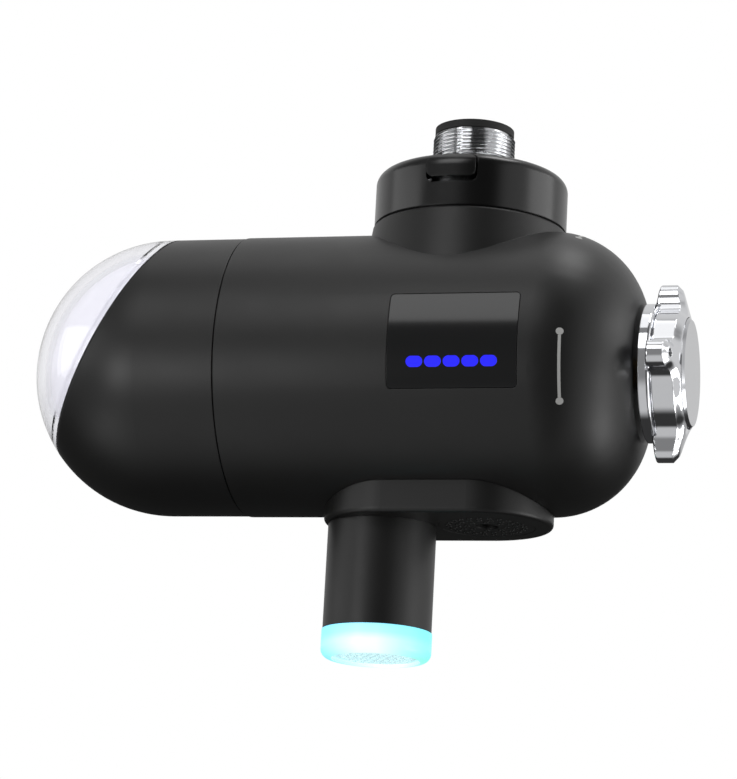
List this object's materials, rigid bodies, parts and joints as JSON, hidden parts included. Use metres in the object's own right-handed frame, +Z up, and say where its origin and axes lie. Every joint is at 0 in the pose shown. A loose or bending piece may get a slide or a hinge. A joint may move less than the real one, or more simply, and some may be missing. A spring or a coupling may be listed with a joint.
{
  "type": "faucet mount water filter",
  "caption": "Water filter that hangs under a spout: black barrel with a domed cartridge cap, release collar, chrome diverter knob, level display, lit filtered outlet and shower outlet.",
  "frame": {"origin": "foot of the spout thread, on its axis, where the spout's rim comes to rest", "axes": "+Z up along the spout thread, +X along the barrel towards the diverter knob, -Y out of the front with the display"},
  "size_m": [0.1781, 0.075, 0.1443],
  "materials": {
    "matte_black_abs": "fine matte moulded texture",
    "satin_black_abs": "satin moulded",
    "chrome_brass": "polished chrome on brass",
    "chromed_zinc": "polished chrome on die-cast zinc",
    "black_rubber": "moulded nitrile rubber",
    "stainless_steel": "bright stainless steel",
    "spindle_brass": "turned brass",
    "white_abs": "white glossy moulded",
    "acetal": "natural acetal, moulded",
    "alumina_ceramic": "lapped alumina",
    "ferrite": "sintered ferrite",
    "copper_wire": "enamelled copper winding",
    "clear_polycarbonate": "clear polished polycarbonate",
    "glow_ring": "frosted acrylic light guide, lit cyan",
    "ring_lamp": "lit cyan lamp",
    "smoked_acrylic": "smoked glossy acrylic",
    "blue_light": "lit blue light guide",
    "circuit_board": "solder resist on glass epoxy",
    "activated_carbon": "sintered activated carbon",
    "sediment_fleece": "spun polypropylene fleece"
  },
  "bodies": {
    "adapter": {"spout_adapter": "chrome_brass", "inlet_washer": "black_rubber", "inlet_screen": "stainless_steel", "adapter_seal": "black_rubber"},
    "barrel": {"main_housing": "matte_black_abs", "swivel_socket": "acetal", "collar_ring": "satin_black_abs", "manifold": "acetal", "fixed_disc": "alumina_ceramic", "valve_bonnet": "acetal", "bulkhead": "acetal", "turbine_case": "acetal", "turbine_lid": "acetal", "turbine_pin": "stainless_steel", "generator_coil": "copper_wire", "outlet_base": "matte_black_abs", "base_screws": "stainless_steel", "shower_plate": "matte_black_abs", "outlet_tube": "matte_black_abs", "pure_pipe": "white_abs", "led_board": "circuit_board", "ring_leds": "ring_lamp", "led_ring": "glow_ring", "nozzle_insert": "white_abs", "display_lens": "smoked_acrylic", "light_pipes": "blue_light", "display_board": "circuit_board"},
    "latch": {"latch_button": "satin_black_abs", "latch_plate": "stainless_steel", "latch_springs": "stainless_steel"},
    "knob": {"knob_skirt": "chromed_zinc", "knob_handle": "chromed_zinc", "knob_screw": "stainless_steel", "knob_cap": "chromed_zinc", "valve_spindle": "spindle_brass", "moving_disc": "alumina_ceramic", "spindle_seals": "black_rubber"},
    "turbine": {"turbine_wheel": "acetal", "rotor_magnet": "ferrite"},
    "end_cap_unit": {"end_cap": "matte_black_abs", "dome_window": "clear_polycarbonate", "window_gasket": "black_rubber", "cap_seal": "black_rubber"},
    "cartridge": {"canister": "white_abs", "canister_plate": "white_abs", "nipple_seals": "black_rubber", "sediment_wrap": "sediment_fleece", "carbon_block": "activated_carbon", "core_tube": "white_abs", "carbon_end_disc": "white_abs"}
  },
  "joints": [
    {"name": "barrel_swivel", "type": "hinge", "parent": "adapter", "child": "barrel", "pos_m": [0, 0, 0], "axis": [0, 0, 1], "continuous": true},
    {"name": "latch_press", "type": "slide", "parent": "barrel", "child": "latch", "axis": [0, 1, 0], "range_m": [0, 0.0016], "stiffness_N_per_m": 1500, "springref_m": -0.001},
    {"name": "knob_turn", "type": "hinge", "parent": "barrel", "child": "knob", "pos_m": [0.05, 0, -0.058], "axis": [-1, 0, 0], "range_deg": [0, 90]},
    {"name": "turbine_spin", "type": "hinge", "parent": "barrel", "child": "turbine", "pos_m": [-0.0199, 0, -0.058], "axis": [0, 0, 1], "continuous": true},
    {"name": "cap_off", "type": "slide", "parent": "barrel", "child": "end_cap_unit", "axis": [-1, 0, 0], "range_m": [0, 0.13]},
    {"name": "cartridge_out", "type": "slide", "parent": "barrel", "child": "cartridge", "axis": [-1, 0, 0], "range_m": [0, 0.065]}
  ],
  "couplings": [
    {"joint": "cartridge_out", "follows": "cap_off", "ratio": 0.5}
  ]
}
